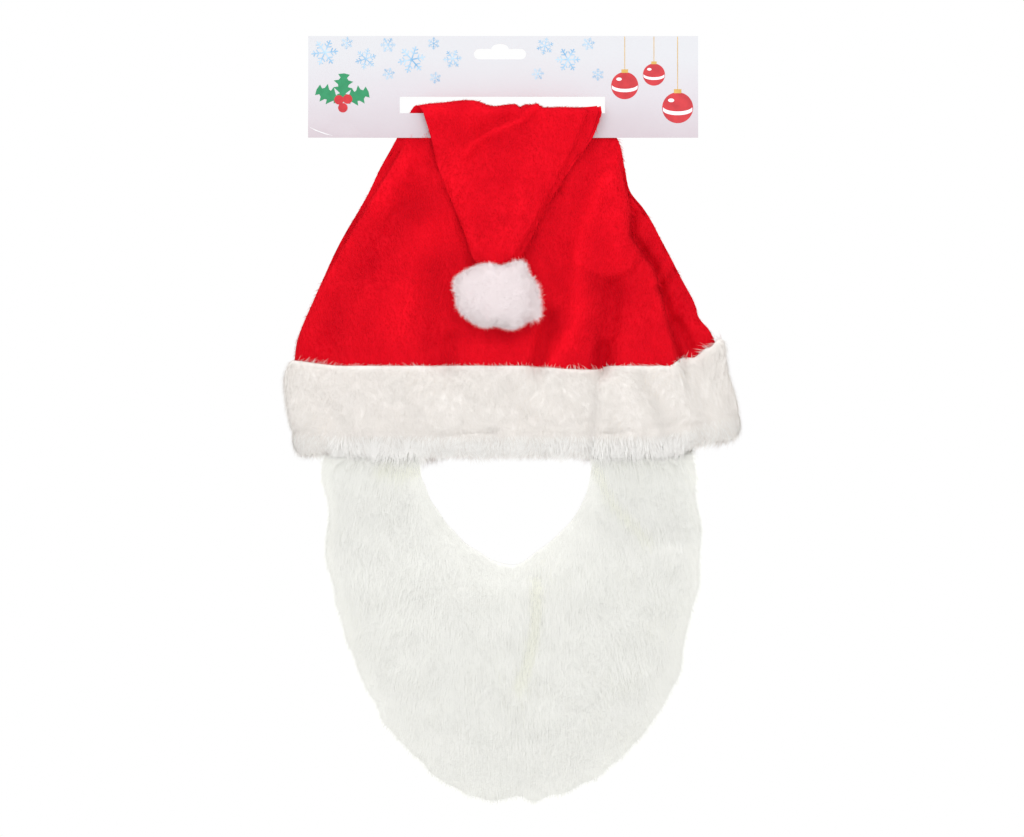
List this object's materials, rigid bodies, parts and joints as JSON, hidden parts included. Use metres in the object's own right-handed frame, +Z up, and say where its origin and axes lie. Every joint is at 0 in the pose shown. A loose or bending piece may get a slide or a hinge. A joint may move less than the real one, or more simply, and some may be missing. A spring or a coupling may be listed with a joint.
{
  "type": "santa hat with beard on a header card",
  "caption": "Red plush santa hat with a white fur band, pompom and long fur beard, folded over the slot of a plain hanging header card.",
  "frame": {"origin": "middle of the card's hang hole, in the card's mid plane", "axes": "+Z up along the hanging hat, +X to the right of the face side, -Y towards the viewer of the face side"},
  "size_m": [0.2877, 0.0951, 0.484],
  "materials": {
    "coated_card": "pale printed card with a soft gloss",
    "red_plush": "short red polyester pile with a nap",
    "white_plush": "white plush with a soft pile",
    "beard_fur": "long combed white fur on a knitted backing",
    "pompom_fur": "fluffy white tufts"
  },
  "bodies": {
    "root": {"header_card": "coated_card", "crown": "red_plush", "fur_band": "white_plush", "beard": "beard_fur", "pompom": "pompom_fur"}
  },
  "joints": []
}
